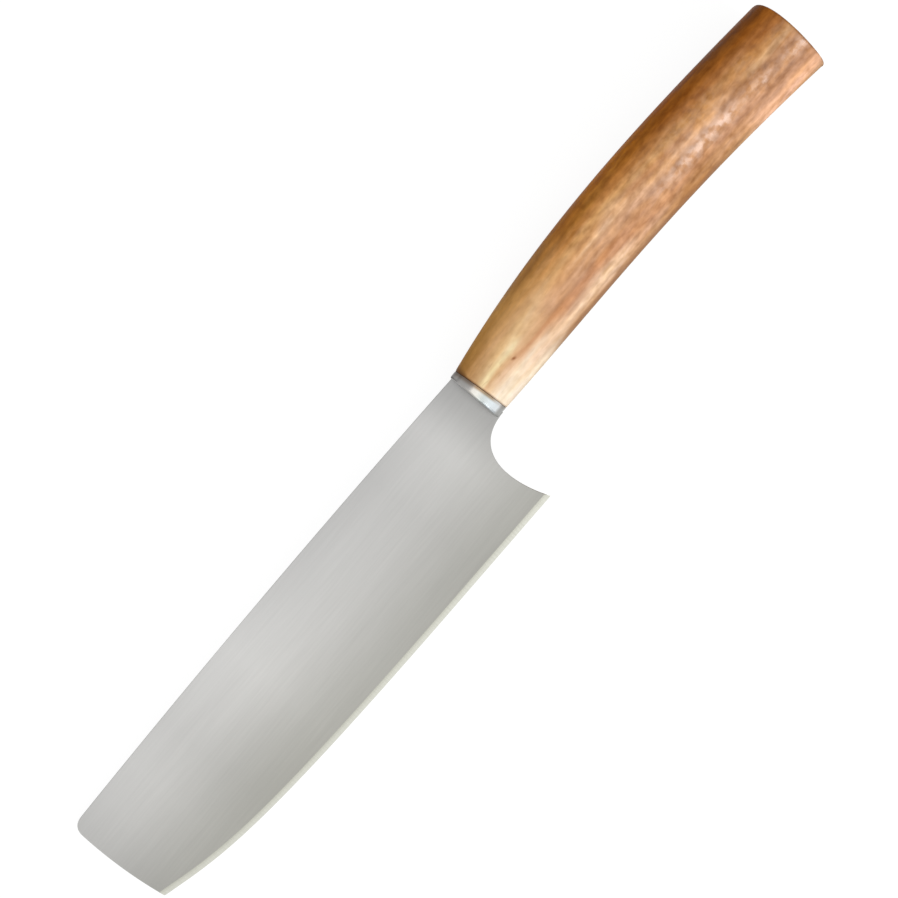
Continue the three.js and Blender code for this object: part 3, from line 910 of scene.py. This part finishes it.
def cured_epoxy():
    """Amber glue with a few cloudy places."""
    material, shader, surface = new_material("cured_epoxy")
    clouds = shader.noise(CLOUDS, detail=3)
    tone = shader.ramp(clouds, ((0.3, (0.42, 0.31, 0.14)), (0.7, (0.54, 0.43, 0.24))))
    shader.feed(surface.inputs["Base Color"], tone)
    shader.feed(surface.inputs["Roughness"], shader.remap(clouds, 0.3, 0.7, 0.35, 0.55))
    return material


def dress_tang_bed(epoxy):
    """The glue bed keeps its shape and gets the glue's look."""
    mesh = frame["nodes"]["tang_bed"].data
    mesh.materials.clear()
    mesh.materials.append(epoxy)


# Stage

SPINE_WAY = DRAWN.to_3x3() @ Vector((0, 1, 0))
LENGTH_WAY = DRAWN.to_3x3() @ Vector((1, 0, 0))
FLOOR_RADIUS = 20  # metres
FLOOR_TONE = 0.18
FLOOR_GLOW = 0.9
DIM_SKY = 0.45  # what is left of the light beyond the spine, and along the knife
LEAST_SKY = 0.4
KEY_LAMP = {"spot": (-330, -930, 690), "aim": (0, 0, 0), "size": 0.4, "energy": 4.3}
GLOSS_LAMP = {"spot": (232, -753, 670), "aim": (100, -3, 10), "size": 0.12, "energy": 1.9}


def make_floor():
    """Pale floor: white to the eye and in reflections, with the knife's soft shadow."""
    mesh = bpy.data.meshes.new("floor")
    corners = [(x * FLOOR_RADIUS, y * FLOOR_RADIUS, 0) for x, y in ((-1, -1), (1, -1), (1, 1), (-1, 1))]
    mesh.from_pydata(corners, [], [(0, 1, 2, 3)])
    floor = bpy.data.objects.new("floor", mesh)
    bpy.context.scene.collection.objects.link(floor)
    material, shader, surface = new_material("white_floor")
    surface.inputs["Base Color"].default_value = (*grey(FLOOR_TONE), 1)
    surface.inputs["Roughness"].default_value = 1
    surface.inputs["Specular IOR Level"].default_value = 0
    path = shader.node("LightPath").outputs
    seen = shader.math("MAXIMUM", path["Is Camera Ray"], path["Is Glossy Ray"])
    seen = shader.math("MAXIMUM", seen, path["Is Transmission Ray"])
    surface.inputs["Emission Color"].default_value = (1, 1, 1, 1)
    shader.feed(surface.inputs["Emission Strength"], shader.times(seen, FLOOR_GLOW))
    mesh.materials.append(material)


def facing(shader, way):
    """Share of the sky's direction along a frame direction, from -1 to 1."""
    dot = shader.node("VectorMath", operation="DOT_PRODUCT")
    shader.feed(dot.inputs[0], shader.node("TexCoord").outputs["Generated"])
    dot.inputs[1].default_value = way
    return dot.outputs["Value"]


def make_world():
    """Soft studio light: plain overhead and beyond the edge, dim beyond the spine and along the knife."""
    world = bpy.data.worlds.new("studio")
    bpy.context.scene.world = world
    world.use_nodes = True
    shader = Shader(world.node_tree)
    spineward = shader.remap(facing(shader, SPINE_WAY), 0.18, 0.34, 1, DIM_SKY)
    lengthwise = shader.math("ABSOLUTE", facing(shader, LENGTH_WAY))
    light = shader.times(spineward, shader.remap(lengthwise, 0.25, 0.9, 1, DIM_SKY))
    light = shader.math("MAXIMUM", light, LEAST_SKY)
    background = world.node_tree.nodes["Background"]
    background.inputs["Color"].default_value = (1, 1, 1, 1)
    shader.feed(background.inputs["Strength"], light)


def make_lamp(name, spot, aim, size, energy):
    """Square soft lamp at one drawn point, aimed at another."""
    lamp = bpy.data.lights.new(name, "AREA")
    lamp.shape = "SQUARE"
    lamp.size = size
    lamp.energy = energy
    holder = bpy.data.objects.new(name, lamp)
    holder.location = drawn(*spot)
    holder.rotation_euler = (drawn(*aim) - drawn(*spot)).to_track_quat("-Z", "Y").to_euler()
    bpy.context.scene.collection.objects.link(holder)


def make_camera():
    """Camera square to the blade, turned so that the handle leans as in the picture."""
    data = bpy.data.cameras.new("camera")
    data.sensor_width = SENSOR_WIDTH
    data.lens = SENSOR_WIDTH * CAMERA_DISTANCE / VIEW_WIDTH
    camera = bpy.data.objects.new("camera", data)
    turn = DRAWN.to_3x3() @ Matrix.Rotation(KNIFE_LEAN, 3, "Z").transposed()
    camera.matrix_world = Matrix.Translation(drawn(*AIM, CAMERA_DISTANCE)) @ turn.to_4x4()
    bpy.context.scene.collection.objects.link(camera)
    bpy.context.scene.camera = camera


bpy.context.scene.view_settings.view_transform = "Standard"
make_camera()
make_world()
make_lamp("key", **KEY_LAMP)
make_lamp("gloss", **GLOSS_LAMP)
make_floor()
make_blade(satin_steel(), honed_steel())
make_bolster(polished_steel())
make_handle(oiled_wood())
dress_tang_bed(cured_epoxy())
